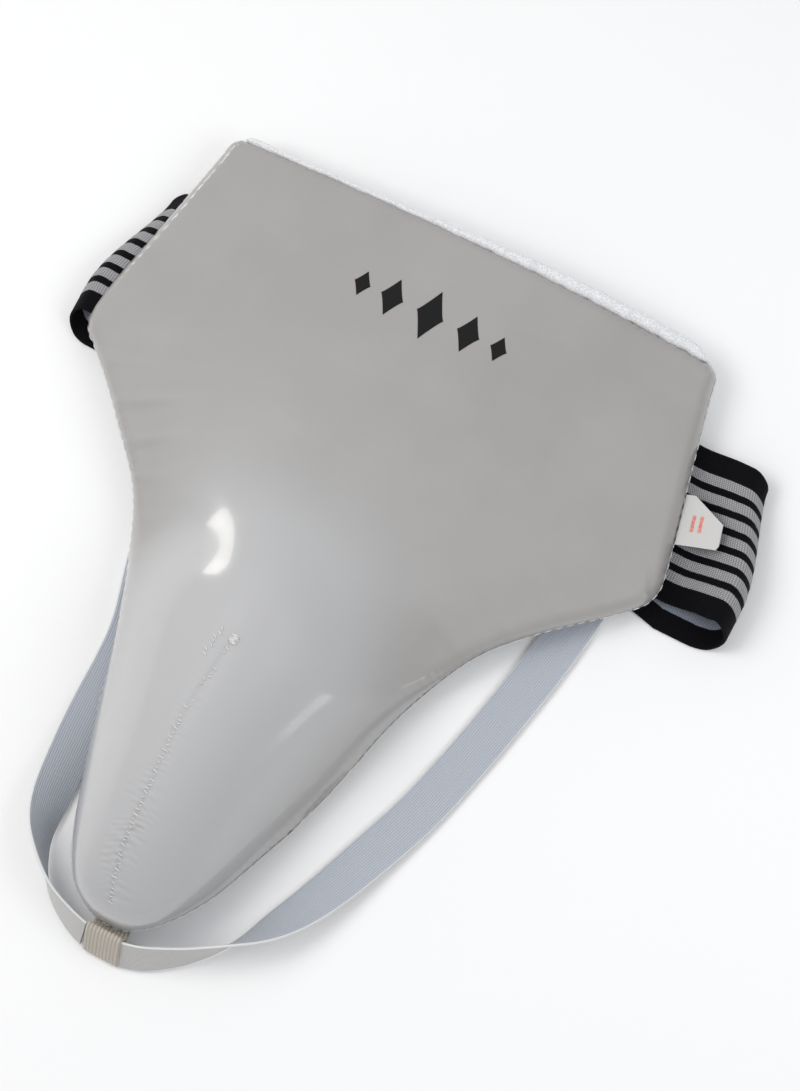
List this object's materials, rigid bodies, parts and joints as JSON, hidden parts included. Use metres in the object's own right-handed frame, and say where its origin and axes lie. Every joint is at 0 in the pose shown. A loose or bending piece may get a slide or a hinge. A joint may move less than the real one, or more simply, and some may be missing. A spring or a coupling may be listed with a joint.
{
  "type": "groin protector",
  "caption": "Martial-arts groin protector: padded glossy shield with an abdominal flap, a domed hard cup, a striped elastic waist belt and an elastic leg strap held in a loop at the tip.",
  "frame": {"origin": "middle of the rear waist belt's underside, on the plane the protector rests on", "axes": "+X towards the wearer's left, +Y up towards the waist edge, +Z away from the wearer"},
  "size_m": [0.338, 0.3596, 0.076],
  "materials": {
    "cover_vinyl": "glossy",
    "lining_fabric": "matte",
    "binding_tape": "matte",
    "foam": "matte",
    "black_print": "satin",
    "waist_elastic": "matte",
    "leg_elastic": "matte",
    "keeper_webbing": "matte",
    "thread": "matte",
    "cup_plastic": "glossy",
    "rim_rubber": "matte",
    "label_satin": "satin",
    "label_ink": "matte"
  },
  "bodies": {
    "flap": {"front_cover": "cover_vinyl", "back_lining": "lining_fabric", "top_edge_binding": "binding_tape", "flap_foam": "foam", "printed_mark": "black_print", "belt_side_right": "waist_elastic", "belt_side_left": "waist_elastic", "belt_tack_right": "thread", "belt_tack_left": "thread"},
    "cup_section": {"cup_foam": "foam", "hard_cup": "cup_plastic", "cup_rim_bead": "rim_rubber", "dart_stitching": "thread", "dart_bartack": "thread", "tip_keeper": "keeper_webbing", "keeper_stitch": "thread", "leg_strap_lower": "leg_elastic"},
    "rear_belt": {"belt_rear": "waist_elastic", "leg_strap_upper_right": "leg_elastic", "leg_strap_upper_left": "leg_elastic", "strap_tack_right": "thread", "strap_tack_left": "thread"},
    "label": {"size_label": "label_satin", "label_mark": "label_ink"}
  },
  "joints": [
    {"name": "crotch_flex", "type": "hinge", "parent": "flap", "child": "cup_section", "pos_m": [0, -0.05, 0.0108], "axis": [1, 0, 0], "range_deg": [-8, 30], "deforming": ["front_cover", "back_lining", "leg_strap_lower"]},
    {"name": "waist_stretch", "type": "slide", "parent": "flap", "child": "rear_belt", "axis": [0, 0, -1], "range_m": [0, 0.1], "deforming": ["belt_side_right", "belt_side_left", "leg_strap_upper_right", "leg_strap_upper_left"]},
    {"name": "label_flip", "type": "hinge", "parent": "flap", "child": "label", "pos_m": [0.1379, 0, 0.012], "axis": [0.2334, -0.9724, 0], "range_deg": [0, 60]}
  ]
}
